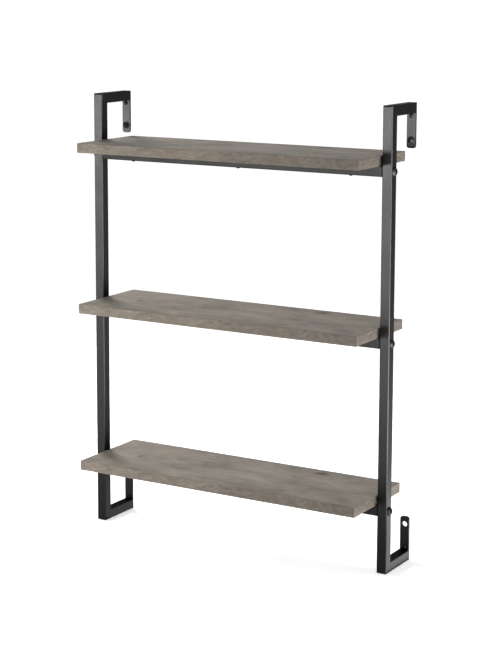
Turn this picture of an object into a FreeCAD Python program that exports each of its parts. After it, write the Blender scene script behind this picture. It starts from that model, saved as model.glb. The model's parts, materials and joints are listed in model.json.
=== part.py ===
import FreeCAD, Part
import math
import os

# Three-tier wall shelf: two side frames of square steel tube, three boards on crossbars.
# Millimetres. X runs to the right, Y towards the wall, Z up. The origin is on the wall plane,
# midway between the side frames and level with their lower ends.

# Side frames
frame_height = 875.0
frame_depth = 103.5
tube_width = 20.0
tube_wall = 1.5
tube_corner_radius = 2.0
frame_corner_rounding = 3.0

# Wall plates, one at the rear end of each arm
plate_width = 18.0
plate_thickness = 4.0
plate_length = 85.0
plate_corner_radius = 5.0
wall_hole_diameter = 11.0
wall_hole_end_distance = 15.0
small_hole_arm_distance = 5.0

# Boards and their edge bands
board_length = 610.0
board_depth = 192.0
board_thickness = 19.0
band_thickness = 1.0
band_rounding = 0.8
board_end_gap = 2.75
board_wall_gap = 1.0
shelf_pitch = 317.5

# Threaded plugs in the crossbar ends
plug_flange_thickness = 2.0
plug_body_length = 20.0
plug_side_clearance = 0.1
plug_corner_radius = 1.0

# Frame bolts, through each upright into a crossbar plug
bolt_diameter = 8.0
bolt_length = 40.0
bolt_head_diameter = 17.0
bolt_head_height = 5.5
bolt_head_rim = 1.2
bolt_socket_width = 6.0
bolt_socket_depth = 3.2
bolt_hole_clearance = 0.25
thread_clearance = 0.1

# Shelf screws, up through each crossbar into its board
shelf_screw_count = 3
shelf_screw_end_distance = 65.0
shelf_screw_diameter = 4.0
shelf_screw_grip = 12.0
shelf_screw_head_diameter = 8.0
shelf_screw_head_height = 2.6
shelf_screw_head_rim = 0.6
pilot_extra_depth = 1.0

# Large wall screws and their flanged bushes, in the top wall plates
wall_screw_diameter = 5.0
wall_screw_reach = 14.0
wall_screw_head_diameter = 10.0
wall_screw_head_height = 3.2
wall_screw_head_rim = 0.8
bush_flange_diameter = 14.0
bush_flange_thickness = 1.6
bush_flange_bevel = 0.6
bush_clearance = 0.1

# Small wall screws, close to the arm in every wall plate
small_screw_diameter = 4.0
small_screw_reach = 12.0
small_screw_head_diameter = 8.4
small_screw_head_height = 2.8
small_screw_head_rim = 0.7
small_hole_clearance = 0.3

# How much thinner a wall screw's smooth neck is than its thread, on the radius
neck_step = 0.2

# Cross recess in the screw heads, as shares of the head it is cut in
recess_length_share = 0.56
recess_width_share = 0.13
recess_depth_share = 0.55

# Radius of a fastener's tip, as a share of its shank's radius
tip_share = 0.2

# How far a cutting shape runs past the surface it cuts
overrun = 5.0

# Places worked out from the sizes above
inner_span = board_length + 2 * board_end_gap
frame_centre_x = (inner_span + tube_width) / 2
upright_front_y = -frame_depth
upright_centre_y = upright_front_y + tube_width / 2
arm_rear_y = -plate_thickness
board_rear_y = -board_wall_gap
board_front_y = board_rear_y - board_depth
crossbar_centres_z = {
    "bottom": frame_height / 2 - shelf_pitch,
    "middle": frame_height / 2,
    "top": frame_height / 2 + shelf_pitch,
}
side_signs = {"left": -1, "right": 1}
end_signs = {"bottom": -1, "top": 1}

X_AXIS = FreeCAD.Vector(1, 0, 0)
Y_AXIS = FreeCAD.Vector(0, 1, 0)
Z_AXIS = FreeCAD.Vector(0, 0, 1)
ORIGIN = FreeCAD.Vector(0, 0, 0)


# Basic shapes

def block(low, high):
    size = FreeCAD.Vector(*high) - FreeCAD.Vector(*low)
    return Part.makeBox(size.x, size.y, size.z, FreeCAD.Vector(*low))


def rod(radius, start, end):
    axis = end - start
    return Part.makeCylinder(radius, axis.Length, start, axis)


def rounded_bar(width, depth, radius, length):
    """A bar along Z from zero up, centred on the axis, with its four long edges rounded."""
    bar = block((-width / 2, -depth / 2, 0), (width / 2, depth / 2, length))
    long_edges = [edge for edge in bar.Edges if abs(edge.Vertexes[0].Z - edge.Vertexes[-1].Z) > length / 2]
    return bar.makeFillet(radius, long_edges)


def square_tube(length):
    """A square tube along Z from zero up, centred on the axis."""
    inner_width = tube_width - 2 * tube_wall
    outside = rounded_bar(tube_width, tube_width, tube_corner_radius, length)
    inside = rounded_bar(inner_width, inner_width, tube_corner_radius - tube_wall, length + 2 * overrun)
    inside.translate(FreeCAD.Vector(0, 0, -overrun))
    return outside.cut(inside)


def prism_across(points_yz):
    """A prism along X, wider than a tube, from an outline of (y, z) points round X = 0."""
    start_x = -tube_width / 2 - overrun
    corners = [FreeCAD.Vector(start_x, y, z) for y, z in points_yz]
    outline = Part.makePolygon(corners + corners[:1])
    return Part.Face(outline).extrude(X_AXIS * (tube_width + 2 * overrun))


def turned(points, arc_end=None):
    """A solid turned about Z from (radius, height) points; the last one joins arc_end by an arc
    whose centre is on the axis."""
    corners = [FreeCAD.Vector(radius, 0, height) for radius, height in points]
    edges = [Part.LineSegment(a, b).toShape() for a, b in zip(corners, corners[1:])]
    last = corners[-1]
    if arc_end is not None:
        rise = arc_end - last.z
        sphere_radius = (last.x ** 2 + rise ** 2) / (2 * rise)
        centre_z = arc_end - sphere_radius
        half_angle = math.atan2(last.x, last.z - centre_z) / 2
        middle = FreeCAD.Vector(
            sphere_radius * math.sin(half_angle), 0, centre_z + sphere_radius * math.cos(half_angle)
        )
        top = FreeCAD.Vector(0, 0, arc_end)
        edges.append(Part.Arc(last, middle, top).toShape())
        last = top
    edges.append(Part.LineSegment(last, corners[0]).toShape())
    profile = Part.Face(Part.Wire(edges))
    return profile.revolve(ORIGIN, Z_AXIS, 360)


def placed(shape, point, head_direction):
    """The shape with its +Z turned to head_direction and its origin at point."""
    copy = shape.copy()
    copy.Placement = FreeCAD.Placement(point, FreeCAD.Rotation(Z_AXIS, head_direction))
    return copy


# Fasteners, each with its seat at the origin, its head above and its shank below

def domed_fastener(head_radius, head_height, rim, shank_radius, shank_length, tip_length, neck=None):
    """A domed head on a shank; neck, if given, is the (radius, length) of a smooth part below the head."""
    shank = [
        (0, -shank_length),
        (shank_radius * tip_share, -shank_length),
        (shank_radius, tip_length - shank_length),
    ]
    if neck is None:
        shank.append((shank_radius, 0))
    else:
        neck_radius, neck_length = neck
        shank += [(shank_radius, -neck_length), (neck_radius, -neck_length), (neck_radius, 0)]
    return turned(shank + [(head_radius, 0), (head_radius, rim)], arc_end=head_height)


def with_cross_recess(screw, head_diameter, head_height):
    length = head_diameter * recess_length_share
    width = head_diameter * recess_width_share
    floor = head_height * (1 - recess_depth_share)
    for size_x, size_y in ((length, width), (width, length)):
        slot = block((-size_x / 2, -size_y / 2, floor), (size_x / 2, size_y / 2, head_height + overrun))
        screw = screw.cut(slot)
    return screw


def frame_bolt():
    bolt = domed_fastener(
        bolt_head_diameter / 2,
        bolt_head_height,
        bolt_head_rim,
        bolt_diameter / 2 - thread_clearance,
        bolt_length,
        bolt_diameter / 4,
    )
    corner_radius = bolt_socket_width / math.sqrt(3)
    corners = [
        FreeCAD.Vector(
            corner_radius * math.cos(math.radians(60 * turn)),
            corner_radius * math.sin(math.radians(60 * turn)),
            bolt_head_height - bolt_socket_depth,
        )
        for turn in range(6)
    ]
    socket = Part.Face(Part.makePolygon(corners + corners[:1])).extrude(Z_AXIS * (bolt_socket_depth + overrun))
    return bolt.cut(socket)


def shelf_screw():
    screw = domed_fastener(
        shelf_screw_head_diameter / 2,
        shelf_screw_head_height,
        shelf_screw_head_rim,
        shelf_screw_diameter / 2 - thread_clearance,
        tube_width + shelf_screw_grip,
        shelf_screw_diameter,
    )
    return with_cross_recess(screw, shelf_screw_head_diameter, shelf_screw_head_height)


def wall_screw():
    screw = domed_fastener(
        wall_screw_head_diameter / 2,
        wall_screw_head_height,
        wall_screw_head_rim,
        wall_screw_diameter / 2,
        bush_flange_thickness + plate_thickness + wall_screw_reach,
        wall_screw_diameter,
        neck=(wall_screw_diameter / 2 - neck_step, bush_flange_thickness + plate_thickness),
    )
    return with_cross_recess(screw, wall_screw_head_diameter, wall_screw_head_height)


def small_wall_screw():
    screw = domed_fastener(
        small_screw_head_diameter / 2,
        small_screw_head_height,
        small_screw_head_rim,
        small_screw_diameter / 2,
        plate_thickness + small_screw_reach,
        small_screw_diameter,
        neck=(small_screw_diameter / 2 - neck_step, plate_thickness),
    )
    return with_cross_recess(screw, small_screw_head_diameter, small_screw_head_height)


def wall_screw_bush():
    """A flanged sleeve: the flange lies on the plate, above zero, and the sleeve fills its hole."""
    bore_radius = wall_screw_diameter / 2 + bush_clearance
    sleeve_radius = wall_hole_diameter / 2 - bush_clearance
    flange_radius = bush_flange_diameter / 2
    return turned(
        [
            (bore_radius, -plate_thickness),
            (sleeve_radius, -plate_thickness),
            (sleeve_radius, 0),
            (flange_radius, 0),
            (flange_radius, bush_flange_thickness - bush_flange_bevel),
            (flange_radius - bush_flange_bevel, bush_flange_thickness),
            (bore_radius, bush_flange_thickness),
        ]
    )


# Side frames, built round X = 0 and moved to their side

def mitre_waste(end_sign, keep_upright):
    """What a mitred corner takes off the upright or, if keep_upright is false, off the arm."""
    corner_y = upright_front_y
    corner_z = frame_height / 2 + end_sign * frame_height / 2
    reach = tube_width + overrun
    outer = (corner_y - overrun, corner_z + end_sign * overrun)
    inner = (corner_y + reach, corner_z - end_sign * reach)
    if keep_upright:
        far = (corner_y + reach, corner_z + end_sign * overrun)
    else:
        far = (corner_y - overrun, corner_z - end_sign * reach)
    return prism_across([outer, inner, far])


def corner_sliver(end_sign):
    """The sharp outer edge that is rounded off a mitred corner."""
    corner_z = frame_height / 2 + end_sign * frame_height / 2
    centre_y = upright_front_y + frame_corner_rounding
    centre_z = corner_z - end_sign * frame_corner_rounding
    square = prism_across(
        [
            (centre_y, centre_z),
            (upright_front_y - overrun, centre_z),
            (upright_front_y - overrun, corner_z + end_sign * overrun),
            (centre_y, corner_z + end_sign * overrun),
        ]
    )
    side_x = tube_width / 2 + 2 * overrun
    round_bar = rod(
        frame_corner_rounding,
        FreeCAD.Vector(-side_x, centre_y, centre_z),
        FreeCAD.Vector(side_x, centre_y, centre_z),
    )
    return square.cut(round_bar)


def upright():
    tube = square_tube(frame_height)
    tube.translate(FreeCAD.Vector(0, upright_centre_y, 0))
    for end_sign in end_signs.values():
        tube = tube.cut(mitre_waste(end_sign, True))
        tube = tube.cut(corner_sliver(end_sign))
    hole_radius = bolt_diameter / 2 + bolt_hole_clearance
    side_x = tube_width / 2 + overrun
    for centre_z in crossbar_centres_z.values():
        start = FreeCAD.Vector(-side_x, upright_centre_y, centre_z)
        end = FreeCAD.Vector(side_x, upright_centre_y, centre_z)
        tube = tube.cut(rod(hole_radius, start, end))
    return tube


def arm(end_sign):
    tube = square_tube(arm_rear_y - upright_front_y)
    centre_z = frame_height / 2 + end_sign * (frame_height - tube_width) / 2
    tube = placed(tube, FreeCAD.Vector(0, upright_front_y, centre_z), Y_AXIS)
    tube = tube.cut(mitre_waste(end_sign, False))
    return tube.cut(corner_sliver(end_sign))


def wall_hole_z(end_sign):
    return frame_height / 2 + end_sign * (frame_height / 2 - plate_length + wall_hole_end_distance)


def small_hole_z(end_sign):
    return frame_height / 2 + end_sign * (frame_height / 2 - tube_width - small_hole_arm_distance)


def wall_plate(end_sign):
    arm_end_z = frame_height / 2 + end_sign * frame_height / 2
    free_end_z = arm_end_z - end_sign * plate_length
    low_z = min(arm_end_z, free_end_z)
    high_z = max(arm_end_z, free_end_z)
    plate = block((-plate_width / 2, -plate_thickness, low_z), (plate_width / 2, 0, high_z))
    corner_edges = [
        edge
        for edge in plate.Edges
        if abs(edge.Vertexes[0].Y - edge.Vertexes[-1].Y) > plate_thickness / 2
        and abs(edge.Vertexes[0].Z - free_end_z) < plate_thickness / 2
    ]
    plate = plate.makeFillet(plate_corner_radius, corner_edges)
    small_hole_diameter = small_screw_diameter + 2 * small_hole_clearance
    holes = ((wall_hole_diameter, wall_hole_z(end_sign)), (small_hole_diameter, small_hole_z(end_sign)))
    for diameter, hole_z in holes:
        start = FreeCAD.Vector(0, -plate_thickness - overrun, hole_z)
        end = FreeCAD.Vector(0, overrun, hole_z)
        plate = plate.cut(rod(diameter / 2, start, end))
    return plate


# Crossbars and boards

def shelf_screw_places_x():
    last_x = board_length / 2 - shelf_screw_end_distance
    spacing = 2 * last_x / (shelf_screw_count - 1)
    return [index * spacing - last_x for index in range(shelf_screw_count)]


def crossbar(centre_z):
    half_length = inner_span / 2 - plug_flange_thickness
    tube = placed(
        square_tube(2 * half_length),
        FreeCAD.Vector(-half_length, upright_centre_y, centre_z),
        X_AXIS,
    )
    reach = tube_width / 2 + overrun
    for place_x in shelf_screw_places_x():
        start = FreeCAD.Vector(place_x, upright_centre_y, centre_z - reach)
        end = FreeCAD.Vector(place_x, upright_centre_y, centre_z + reach)
        tube = tube.cut(rod(shelf_screw_diameter / 2 + thread_clearance, start, end))
    return tube


def crossbar_plug():
    """Seen from its flange: the flange's outer face is at zero and the body runs down from it."""
    body_width = tube_width - 2 * tube_wall - 2 * plug_side_clearance
    flange = rounded_bar(tube_width, tube_width, tube_corner_radius, plug_flange_thickness)
    flange.translate(FreeCAD.Vector(0, 0, -plug_flange_thickness))
    body = rounded_bar(body_width, body_width, plug_corner_radius, plug_body_length)
    body.translate(FreeCAD.Vector(0, 0, -plug_flange_thickness - plug_body_length))
    plug = flange.fuse(body).removeSplitter()
    bore_start = FreeCAD.Vector(0, 0, overrun)
    bore_end = FreeCAD.Vector(0, 0, -plug_flange_thickness - plug_body_length - overrun)
    return plug.cut(rod(bolt_diameter / 2, bore_start, bore_end))


def board_core(base_z):
    core = block(
        (-board_length / 2 + band_thickness, board_front_y + band_thickness, base_z),
        (board_length / 2 - band_thickness, board_rear_y - band_thickness, base_z + board_thickness),
    )
    pilot_depth = shelf_screw_grip + pilot_extra_depth
    for place_x in shelf_screw_places_x():
        start = FreeCAD.Vector(place_x, upright_centre_y, base_z - overrun)
        end = FreeCAD.Vector(place_x, upright_centre_y, base_z + pilot_depth)
        core = core.cut(rod(shelf_screw_diameter / 2, start, end))
    return core


def rounded_band(low, high, axis_name, outer_place):
    """A strip whose two long outer edges, which lie at outer_place along axis_name, are rounded."""
    strip = block(low, high)
    long_edges = []
    for edge in strip.Edges:
        first = edge.Vertexes[0].Point
        last = edge.Vertexes[-1].Point
        level = abs(first.z - last.z) < band_rounding
        on_outside = all(abs(getattr(point, axis_name) - outer_place) < band_rounding / 2 for point in (first, last))
        if level and on_outside:
            long_edges.append(edge)
    return strip.makeFillet(band_rounding, long_edges)


def edge_bands(base_z):
    top_z = base_z + board_thickness
    half_length = board_length / 2
    bands = {}
    bands["front"] = rounded_band(
        (-half_length, board_front_y, base_z),
        (half_length, board_front_y + band_thickness, top_z),
        "y",
        board_front_y,
    )
    bands["back"] = rounded_band(
        (-half_length, board_rear_y - band_thickness, base_z),
        (half_length, board_rear_y, top_z),
        "y",
        board_rear_y,
    )
    for side, sign in side_signs.items():
        outer_x = sign * half_length
        inner_x = sign * (half_length - band_thickness)
        bands[side] = rounded_band(
            (min(outer_x, inner_x), board_front_y + band_thickness, base_z),
            (max(outer_x, inner_x), board_rear_y - band_thickness, top_z),
            "x",
            outer_x,
        )
    return bands


# The whole shelf, node by node

nodes = {}

for side, sign in side_signs.items():
    to_side = FreeCAD.Vector(sign * frame_centre_x, 0, 0)
    nodes[side + "_upright"] = upright()
    nodes[side + "_upright"].translate(to_side)
    for end, end_sign in end_signs.items():
        nodes[side + "_" + end + "_arm"] = arm(end_sign)
        nodes[side + "_" + end + "_arm"].translate(to_side)
        nodes[side + "_" + end + "_wall_plate"] = wall_plate(end_sign)
        nodes[side + "_" + end + "_wall_plate"].translate(to_side)

frame_bolts = []
shelf_screws = []
for tier, centre_z in crossbar_centres_z.items():
    board_base_z = centre_z + tube_width / 2
    nodes[tier + "_crossbar"] = crossbar(centre_z)
    nodes[tier + "_shelf_board"] = board_core(board_base_z)
    for side, band in edge_bands(board_base_z).items():
        nodes[tier + "_shelf_" + side + "_band"] = band
    for side, sign in side_signs.items():
        outwards = FreeCAD.Vector(sign, 0, 0)
        plug_seat = FreeCAD.Vector(sign * inner_span / 2, upright_centre_y, centre_z)
        bolt_seat = plug_seat + outwards * tube_width
        nodes[side + "_" + tier + "_crossbar_plug"] = placed(crossbar_plug(), plug_seat, outwards)
        frame_bolts.append(placed(frame_bolt(), bolt_seat, outwards))
    for place_x in shelf_screw_places_x():
        screw_seat = FreeCAD.Vector(place_x, upright_centre_y, centre_z - tube_width / 2)
        shelf_screws.append(placed(shelf_screw(), screw_seat, -Z_AXIS))

wall_screws = []
wall_screw_bushes = []
small_wall_screws = []
for sign in side_signs.values():
    bush_seat = FreeCAD.Vector(sign * frame_centre_x, -plate_thickness, wall_hole_z(end_signs["top"]))
    wall_screw_bushes.append(placed(wall_screw_bush(), bush_seat, -Y_AXIS))
    screw_seat = bush_seat - Y_AXIS * bush_flange_thickness
    wall_screws.append(placed(wall_screw(), screw_seat, -Y_AXIS))
    for end_sign in end_signs.values():
        small_seat = FreeCAD.Vector(sign * frame_centre_x, -plate_thickness, small_hole_z(end_sign))
        small_wall_screws.append(placed(small_wall_screw(), small_seat, -Y_AXIS))

nodes["frame_bolts"] = Part.makeCompound(frame_bolts)
nodes["shelf_screws"] = Part.makeCompound(shelf_screws)
nodes["wall_screws"] = Part.makeCompound(wall_screws)
nodes["wall_screw_bushes"] = Part.makeCompound(wall_screw_bushes)
nodes["small_wall_screws"] = Part.makeCompound(small_wall_screws)

os.makedirs("parts", exist_ok=True)
for name, shape in nodes.items():
    shape.exportStep("parts/" + name + ".step")
    print(name, len(shape.Solids), "solid(s)", round(shape.Volume), "mm3")
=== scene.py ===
import bpy
import json
import math
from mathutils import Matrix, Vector


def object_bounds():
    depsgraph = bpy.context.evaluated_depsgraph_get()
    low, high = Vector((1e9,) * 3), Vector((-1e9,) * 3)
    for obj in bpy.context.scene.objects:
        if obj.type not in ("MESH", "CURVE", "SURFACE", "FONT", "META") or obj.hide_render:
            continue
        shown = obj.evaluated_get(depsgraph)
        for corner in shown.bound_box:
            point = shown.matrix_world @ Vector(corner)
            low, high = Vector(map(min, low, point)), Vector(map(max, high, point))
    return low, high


# Three-tier wall shelf: materials, lights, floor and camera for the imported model.
# Metres and radians. Texture scales are cycles a metre.

# Camera, at the photograph's place. The sight is where its axis meets the picture, in pixels
camera_place = Vector((1.7047, -2.9762, 1.1060))
camera_turn = 0.5507
camera_tilt = 0.1490
sensor_width = 36.0
image_width = 500
image_height = 669
focal_pixels = 1768.2
sight_x = 208.9
sight_y = 240.8

# Boards, as in the CAD model
board_left_x = -0.305
board_back_y = -0.001
board_base_z = 0.130
shelf_pitch = 0.3175
board_thickness = 0.019

# Lamps, which light the object and don't show in its gloss: name, place, size and radiance
world_level = 0.22
lamps = (
    ("key", Vector((-1.24, -0.94, 0.50)), (0.8, 1.1), 8.3),
    ("fill", Vector((1.7, 0.1, 0.36)), (0.8, 0.9), 5.9),
    ("back", Vector((-1.4, 0.8, 1.5)), (0.5, 0.5), 42.0),
)

# Cards, which show in the gloss and light nothing else: name, place, turn about Z, size and
# radiance. They lie on the floor, face up
floor_cards = (
    ("front_card", (-7.0, -16.6, 0.004), -0.42, (11.0, 24.0), 49.0),
    ("front_card_near", (-0.95, -2.95, 0.004), -0.45, (1.7, 4.6), 2.2),
    ("side_card_far", (0.815, 0.915, 0.004), -0.445, (0.50, 1.70), 6.2),
    ("side_card_middle", (1.95, 3.45, 0.004), -0.50, (0.75, 2.2), 4.0),
    ("side_card_near", (0.447, 0.125, 0.001), 0.0, (0.23, 0.47), 11.0),
    ("left_foot_card", (-0.205, 0.055, 0.001), -0.614, (0.13, 0.34), 2.6),
    ("corner_card_near", (1.95, -1.28, 0.004), 1.02, (1.9, 3.0), 34.0),
    ("corner_card_far", (9.0, -4.65, 0.004), 1.087, (5.0, 12.0), 44.0),
)

# Floor. Its glow, for rays that see the background, grows from the object outwards, so that
# the object's shadow stays near it and all else is white
floor_size = 60.0
floor_gap = 0.0006
floor_albedo = 0.80
glow_distances = (0.5, 2.6)
glow_levels = (0.65, 0.89)

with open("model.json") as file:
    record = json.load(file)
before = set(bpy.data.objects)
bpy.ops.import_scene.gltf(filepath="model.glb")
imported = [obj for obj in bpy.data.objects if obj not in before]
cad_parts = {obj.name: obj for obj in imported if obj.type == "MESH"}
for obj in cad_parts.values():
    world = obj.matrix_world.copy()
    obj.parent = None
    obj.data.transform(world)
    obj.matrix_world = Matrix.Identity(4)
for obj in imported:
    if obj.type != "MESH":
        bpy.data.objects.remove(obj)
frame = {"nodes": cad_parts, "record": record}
cad_low, cad_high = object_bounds()
scene = bpy.context.scene
scene.view_settings.view_transform = "Standard"


def add_node(tree, kind, inputs=None, **settings):
    """A shader node; an input that is a socket is linked and any other is set."""
    made = tree.nodes.new(kind)
    for name, value in settings.items():
        setattr(made, name, value)
    for name, value in (inputs or {}).items():
        if isinstance(value, bpy.types.NodeSocket):
            tree.links.new(value, made.inputs[name])
        else:
            made.inputs[name].default_value = value
    return made


def maths(tree, operation, first, second=0.0, third=0.0):
    inputs = {0: first, 1: second, 2: third}
    return add_node(tree, "ShaderNodeMath", inputs, operation=operation).outputs[0]


def vector_maths(tree, operation, *vectors):
    made = add_node(tree, "ShaderNodeVectorMath", dict(enumerate(vectors)), operation=operation)
    return made.outputs["Value" if operation in ("LENGTH", "DOT_PRODUCT") else "Vector"]


def noise(tree, vector, scale, detail, roughness):
    inputs = {"Vector": vector, "Scale": scale, "Detail": detail, "Roughness": roughness}
    return add_node(tree, "ShaderNodeTexNoise", inputs).outputs["Fac"]


def stretched(tree, vector, factors, offset=(0.0, 0.0, 0.0)):
    inputs = {"Vector": vector, "Scale": factors, "Location": offset}
    return add_node(tree, "ShaderNodeMapping", inputs).outputs["Vector"]


def mapped(tree, value, low, high, new_low, new_high):
    """The value taken from one range to another, smoothly and without leaving it."""
    inputs = {
        "Value": value,
        "From Min": low,
        "From Max": high,
        "To Min": new_low,
        "To Max": new_high,
    }
    made = add_node(tree, "ShaderNodeMapRange", inputs, interpolation_type="SMOOTHSTEP")
    return made.outputs["Result"]


def blended(tree, factor, first, second):
    """The first colour at a factor of zero and the second at one."""
    made = add_node(tree, "ShaderNodeMix", data_type="RGBA")
    sockets = {"Factor_Float": factor, "A_Color": first, "B_Color": second}
    for identifier, value in sockets.items():
        socket = next(item for item in made.inputs if item.identifier == identifier)
        if isinstance(value, bpy.types.NodeSocket):
            tree.links.new(value, socket)
        else:
            socket.default_value = (*value, 1.0)
    return next(item for item in made.outputs if item.identifier == "Result_Color")


def scaled(values, gain):
    return tuple(gain * value for value in values)


def new_material(name):
    material = bpy.data.materials.new(name)
    material.use_nodes = True
    tree = material.node_tree
    tree.nodes.clear()
    shader = add_node(tree, "ShaderNodeBsdfPrincipled")
    add_node(tree, "ShaderNodeOutputMaterial", {"Surface": shader.outputs["BSDF"]})
    place = add_node(tree, "ShaderNodeTexCoord").outputs["Object"]
    return material, tree, shader, place


def finish_shader(tree, shader, colour, roughness, height, height_scale):
    inputs = {"Height": height, "Strength": 1.0, "Distance": height_scale}
    bump = add_node(tree, "ShaderNodeBump", inputs)
    tree.links.new(colour, shader.inputs["Base Color"])
    tree.links.new(roughness, shader.inputs["Roughness"])
    tree.links.new(bump.outputs["Normal"], shader.inputs["Normal"])


# How alike the softened and the true normal are, from a worn edge to a flat face
edge_likeness = (0.80, 0.99)
edge_samples = 6


def edge_mask(tree, radius):
    """Rises to one along outer edges, from the turn of the surface within the radius."""
    bevel = add_node(tree, "ShaderNodeBevel", {"Radius": radius}, samples=edge_samples)
    true_normal = add_node(tree, "ShaderNodeNewGeometry").outputs["Normal"]
    likeness = vector_maths(tree, "DOT_PRODUCT", bevel.outputs["Normal"], true_normal)
    return mapped(tree, likeness, *edge_likeness, 1.0, 0.0)


# Wood laminate

# Dark spots, the same on all boards: distances from the board's left end and from its back,
# half length, half width and strength
top_spots = (
    (0.083, 0.104, 0.006, 0.007, 0.60),
    (0.453, 0.027, 0.015, 0.007, 1.00),
    (0.419, 0.068, 0.004, 0.004, 0.80),
    (0.228, 0.091, 0.007, 0.005, 0.34),
    (0.221, 0.029, 0.010, 0.005, 0.34),
    (0.283, 0.034, 0.008, 0.004, 0.30),
    (0.540, 0.050, 0.014, 0.010, 0.22),
    (0.347, 0.140, 0.012, 0.005, 0.22),
    (0.480, 0.150, 0.016, 0.007, 0.22),
)

# Warm patches: the same distances, half length and half width
warm_patches = (
    (0.125, 0.040, 0.050, 0.022),
    (0.440, 0.042, 0.040, 0.020),
    (0.360, 0.045, 0.035, 0.022),
    (0.545, 0.050, 0.030, 0.030),
    (0.050, 0.035, 0.040, 0.020),
)

spot_colour = (0.062, 0.054, 0.046)
patch_strength = 0.40
# Where a spot has faded out, in half lengths
spot_reach = 1.6

# How the pattern wanders off its straight line
wander_scale = 22.0
wander_detail = 3.0
wander_reach = 0.030

# Fine grain and pores: their scales over the grain's own
fine_gain = 2.4
pore_gain = 3.0
pore_strength = 0.22

# Shifts that keep the noises unlike each other
cloud_offset = (2.3, 5.1, 0.4)
tint_offset = (7.2, 1.7, 3.3)
pore_offset = (3.0, 1.0, 2.0)

# Parts of a noise's range over which something comes or goes
noise_middle = 0.5
noise_range = (0.3, 0.7)
pore_range = (0.62, 0.74)
warm_range = (0.50, 0.68)
cool_range = (0.32, 0.48)

# Rubbed edges: how wide, where on the blotches, how strong and how dark
wood_edge_radius = 0.0016
wood_wear_range = (0.38, 0.62)
wood_wear_levels = (0.10, 0.55)
wood_wear_gain = 0.65

# Relief: shares of its layers, and its scale
fine_relief = 0.5
grain_relief = 0.5
pore_relief = -0.5
wood_height = 0.00012


def on_board(tree, place):
    """Place on a board, from its left rear lower corner, the same on all three."""
    parts = add_node(tree, "ShaderNodeSeparateXYZ", {"Vector": place}).outputs
    x = maths(tree, "SUBTRACT", parts["X"], board_left_x)
    y = maths(tree, "SUBTRACT", board_back_y, parts["Y"])
    z = maths(tree, "SUBTRACT", parts["Z"], board_base_z - board_thickness)
    z = maths(tree, "MODULO", z, shelf_pitch)
    return add_node(tree, "ShaderNodeCombineXYZ", {"X": x, "Y": y, "Z": z}).outputs["Vector"]


def spot(tree, place, x, y, half_length, half_width):
    """One at the middle of a soft oval on the board's faces, falling to zero round it."""
    factors = (1 / half_length, 1 / half_width, 0.0)
    offset = (-x / half_length, -y / half_width, 0.0)
    distance = vector_maths(tree, "LENGTH", stretched(tree, place, factors, offset))
    return mapped(tree, distance, 0.0, spot_reach, 1.0, 0.0)


def wood_material(
    name,
    grain,
    grain_wander,
    cloud,
    mottle,
    weights,
    contrast,
    colours,
    tint_share,
    specular,
    roughness_range,
    spots,
    patches,
):
    """Grey-brown laminate: slow clouds, a mottle, soft grain and pores."""
    material, tree, shader, place = new_material(name)
    board_place = on_board(tree, place)
    wander_inputs = {"Vector": board_place, "Scale": wander_scale, "Detail": wander_detail}
    wander = add_node(tree, "ShaderNodeTexNoise", wander_inputs).outputs["Color"]
    centred = vector_maths(tree, "SUBTRACT", wander, (noise_middle,) * 3)
    shift = vector_maths(tree, "MULTIPLY", centred, (wander_reach,) * 3)
    bent = vector_maths(tree, "ADD", board_place, shift)
    grain_place = vector_maths(tree, "MULTIPLY_ADD", shift, (grain_wander,) * 3, board_place)

    cloud_place = stretched(tree, bent, cloud, cloud_offset)
    tint_place = stretched(tree, bent, cloud, tint_offset)
    fine_place = stretched(tree, board_place, scaled(grain, fine_gain))
    pore_place = stretched(tree, board_place, scaled(grain, pore_gain), pore_offset)
    clouds = noise(tree, cloud_place, scale=1.0, detail=3.0, roughness=0.60)
    blotches = noise(tree, stretched(tree, bent, mottle), scale=1.0, detail=4.0, roughness=0.62)
    soft_grain = noise(
        tree, stretched(tree, grain_place, grain), scale=1.0, detail=4.0, roughness=0.62
    )
    fine = noise(tree, fine_place, scale=1.0, detail=3.0, roughness=0.60)
    tint = noise(tree, tint_place, scale=1.0, detail=3.0, roughness=0.55)
    pores = noise(tree, pore_place, scale=1.0, detail=2.0, roughness=0.5)
    pore_mask = mapped(tree, pores, *pore_range, 0.0, 1.0)

    body = 0.0
    for layer, weight in zip((clouds, blotches, soft_grain, fine), weights):
        body = maths(tree, "MULTIPLY_ADD", layer, weight, body)
    body = mapped(tree, body, noise_middle - contrast, noise_middle + contrast, 0.0, 1.0)
    dark, light, warm, cool = colours
    colour = blended(tree, body, dark, light)
    colour = blended(tree, mapped(tree, tint, *warm_range, 0.0, tint_share), colour, warm)
    colour = blended(tree, mapped(tree, tint, *cool_range, tint_share, 0.0), colour, cool)

    darkening = maths(tree, "MULTIPLY", pore_mask, pore_strength)
    for *oval, strength in spots:
        darkening = maths(tree, "MULTIPLY_ADD", spot(tree, bent, *oval), strength, darkening)
    if patches:
        warmth = 0.0
        for oval in patches:
            warmth = maths(tree, "MULTIPLY_ADD", spot(tree, bent, *oval), patch_strength, warmth)
        colour = blended(tree, warmth, colour, warm)
    worn = mapped(tree, blotches, *wood_wear_range, *wood_wear_levels)
    wear = maths(tree, "MULTIPLY", edge_mask(tree, wood_edge_radius), worn)
    colour = blended(tree, wear, colour, scaled(dark, wood_wear_gain))
    colour = blended(tree, darkening, colour, spot_colour)

    height = maths(tree, "MULTIPLY", fine, fine_relief)
    height = maths(tree, "MULTIPLY_ADD", soft_grain, grain_relief, height)
    height = maths(tree, "MULTIPLY_ADD", pore_mask, pore_relief, height)
    roughness = mapped(tree, soft_grain, *noise_range, *roughness_range)
    shader.inputs["Specular IOR Level"].default_value = specular
    finish_shader(tree, shader, colour, roughness, height, wood_height)
    return material


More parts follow.
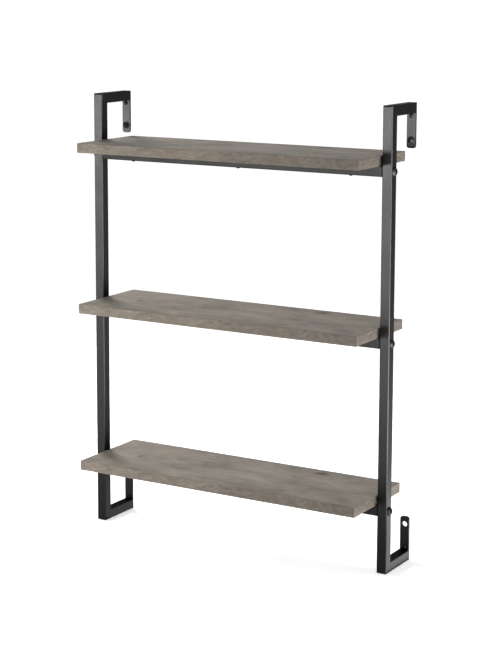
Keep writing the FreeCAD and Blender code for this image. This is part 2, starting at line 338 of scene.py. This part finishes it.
# The colours are dark, light, warm and cool. The weights are those of clouds, mottle, grain
# and fine grain
face_look = {
    "grain": (12.0, 230.0, 230.0),
    "grain_wander": 0.30,
    "cloud": (9.0, 19.0, 19.0),
    "mottle": (32.0, 62.0, 62.0),
    "weights": (0.46, 0.23, 0.25, 0.12),
    "contrast": 0.235,
    "colours": (
        (0.121, 0.110, 0.094),
        (0.357, 0.323, 0.276),
        (0.287, 0.239, 0.197),
        (0.223, 0.220, 0.194),
    ),
    "tint_share": 0.56,
    "specular": 0.05,
    "roughness_range": (0.50, 0.60),
    "spots": top_spots,
    "patches": warm_patches,
}
band_look = {
    "grain_wander": 1.0,
    "cloud": (11.0, 11.0, 20.0),
    "mottle": (105.0, 105.0, 125.0),
    "weights": (0.18, 0.26, 0.40, 0.16),
    "contrast": 0.215,
    "colours": (
        (0.140, 0.120, 0.098),
        (0.370, 0.322, 0.268),
        (0.280, 0.228, 0.182),
        (0.245, 0.226, 0.190),
    ),
    "tint_share": 0.30,
    "specular": 0.04,
    "roughness_range": (0.60, 0.74),
    "spots": (),
    "patches": (),
}
board_wood = wood_material("board_wood", **face_look)
long_band_wood = wood_material("long_band_wood", grain=(26.0, 210.0, 210.0), **band_look)
end_band_wood = wood_material("end_band_wood", grain=(210.0, 26.0, 210.0), **band_look)

# Black coats

# Share of a mirror's gain at a grazing angle that a coat keeps. It falls over the flattest
# angles, where the pebbles hide each other. The range is of Layer Weight's Facing
facing_range = (0.60, 0.86)
grazing_shares = (0.50, 0.20)

slow_scale = 18.0
dust_scale = 160.0
dust_range = (0.60, 0.75)
dust_level = 0.5
coat_edge_radius = 0.0012
coat_wear_range = (0.45, 0.62)

# Gains on the coat's own colour: at its lighter places, under dust and where it is rubbed
light_gain = 1.08
dust_gain = 1.3
coat_wear_gain = 1.9

# Each coat's reflected colour, roughness range, pebbles' scale and height, and edge wear
coats = {
    "black_steel": ((0.0150, 0.0147, 0.0145), (0.32, 0.39), 1400.0, 0.000025, 0.6),
    # The crossbars' coat is the black steel darkened: painted shade under the boards
    "crossbar_steel": ((0.0132, 0.0130, 0.0128), (0.46, 0.54), 1400.0, 0.000025, 0.5),
    "black_fasteners": ((0.0140, 0.0135, 0.0132), (0.46, 0.56), 2600.0, 0.000015, 0.8),
    # The plugs' coat is darker than the black steel: painted shade of the gap between crossbar
    # and upright
    "plug_steel": ((0.0085, 0.0083, 0.0081), (0.46, 0.54), 1800.0, 0.000020, 0.6),
    "black_plastic": ((0.0120, 0.0115, 0.0115), (0.46, 0.56), 3200.0, 0.000020, 0.4),
}


def coat_material(name, colour, roughness_range, pebble_scale, pebble_height, wear_share):
    """Black coat, drawn by its gloss as a metal is: a fine pebble, dust and rubbed edges."""
    material, tree, shader, place = new_material(name)
    pebble = noise(tree, place, pebble_scale, detail=3.0, roughness=0.6)
    slow = noise(tree, place, slow_scale, detail=3.0, roughness=0.5)
    dust = noise(tree, place, dust_scale, detail=4.0, roughness=0.6)
    worn = mapped(tree, dust, *coat_wear_range, 0.0, wear_share)
    wear = maths(tree, "MULTIPLY", edge_mask(tree, coat_edge_radius), worn)
    lightness = mapped(tree, slow, *noise_range, 0.0, 1.0)
    dustiness = mapped(tree, dust, *dust_range, 0.0, dust_level)
    base = blended(tree, lightness, colour, scaled(colour, light_gain))
    base = blended(tree, dustiness, base, scaled(colour, dust_gain))
    base = blended(tree, wear, base, scaled(colour, coat_wear_gain))
    roughness = mapped(tree, slow, *noise_range, *roughness_range)
    facing = add_node(tree, "ShaderNodeLayerWeight", {"Blend": 0.5}).outputs["Facing"]
    grazing = mapped(tree, facing, *facing_range, *grazing_shares)
    tree.links.new(grazing, shader.inputs["Specular Tint"])
    shader.inputs["Metallic"].default_value = 1.0
    finish_shader(tree, shader, base, roughness, pebble, pebble_height)
    return material


# Finishes by material slot, with their own for the end bands and the crossbars. The crossbars'
# own is the black steel made darker, painted shade from the boards above them
finishes = {name: coat_material(name, *look) for name, look in coats.items()}
finishes["grey_wood"] = board_wood
finishes["grey_edge_band"] = long_band_wood
for entry in frame["record"]["subparts"]:
    finish = finishes[entry["material_slot"]]
    if entry["node"].endswith(("_left_band", "_right_band")):
        finish = end_band_wood
    if entry["node"].endswith("_crossbar"):
        finish = finishes["crossbar_steel"]
    for slot in frame["nodes"][entry["node"]].material_slots:
        slot.material = finish


def sees_background(tree):
    """One for the rays that see the white background and zero for those that light."""
    path = add_node(tree, "ShaderNodeLightPath").outputs
    sees = maths(tree, "MAXIMUM", path["Is Camera Ray"], path["Is Glossy Ray"])
    return maths(tree, "MAXIMUM", sees, path["Is Transmission Ray"])


# Floor

bpy.ops.mesh.primitive_plane_add(size=floor_size, location=(0, 0, -floor_gap))
floor = bpy.context.object
floor.name = "floor"
floor_material = bpy.data.materials.new("floor")
floor_material.use_nodes = True
tree = floor_material.node_tree
tree.nodes.clear()
floor_colour = (floor_albedo, floor_albedo, floor_albedo, 1.0)
diffuse = add_node(tree, "ShaderNodeBsdfDiffuse", {"Color": floor_colour}).outputs[0]
place = add_node(tree, "ShaderNodeTexCoord").outputs["Object"]
glow_level = mapped(tree, vector_maths(tree, "LENGTH", place), *glow_distances, *glow_levels)
glow_inputs = {"Color": (1, 1, 1, 1), "Strength": glow_level}
glow = add_node(tree, "ShaderNodeEmission", glow_inputs).outputs[0]
glowing = add_node(tree, "ShaderNodeAddShader", {0: diffuse, 1: glow}).outputs[0]
surface_inputs = {0: sees_background(tree), 1: diffuse, 2: glowing}
surface = add_node(tree, "ShaderNodeMixShader", surface_inputs).outputs[0]
add_node(tree, "ShaderNodeOutputMaterial", {"Surface": surface})
floor.data.materials.append(floor_material)

# World: white where it is seen or reflected, a plain level where it lights the object

world = bpy.data.worlds.new("studio")
scene.world = world
world.use_nodes = True
tree = world.node_tree
tree.nodes.clear()
level = maths(tree, "MULTIPLY_ADD", sees_background(tree), 1.0 - world_level, world_level)
world_inputs = {"Color": (1, 1, 1, 1), "Strength": level}
background = add_node(tree, "ShaderNodeBackground", world_inputs).outputs[0]
add_node(tree, "ShaderNodeOutputWorld", {"Surface": background})

# Lamps and cards


def rectangle_light(name, place, turn, size, radiance, lights_object):
    """A rectangle of light: it either lights the object or shows in its gloss."""
    light = bpy.data.lights.new(name, "AREA")
    light.shape = "RECTANGLE"
    light.size, light.size_y = size
    light.energy = radiance * math.pi * size[0] * size[1]
    lamp = bpy.data.objects.new(name, light)
    lamp.location = place
    lamp.rotation_euler = turn
    lamp.visible_camera = False
    lamp.visible_diffuse = lights_object
    lamp.visible_glossy = not lights_object
    scene.collection.objects.link(lamp)


centre = (cad_low + cad_high) / 2
for name, place, size, radiance in lamps:
    turn = (centre - place).to_track_quat("-Z", "Y").to_euler()
    rectangle_light(name, place, turn, size, radiance, lights_object=True)
for name, place, turn, size, radiance in floor_cards:
    rectangle_light(name, place, (math.pi, 0.0, turn), size, radiance, lights_object=False)

# Camera

camera_data = bpy.data.cameras.new("camera")
camera_data.sensor_width = sensor_width
camera_data.lens = focal_pixels * sensor_width / image_height
camera_data.shift_x = (image_width / 2 - sight_x) / image_height
camera_data.shift_y = (sight_y - image_height / 2) / image_height
camera = bpy.data.objects.new("camera", camera_data)
camera.location = camera_place
camera.rotation_euler = (math.pi / 2 - camera_tilt, 0.0, camera_turn)
scene.collection.objects.link(camera)
scene.camera = camera
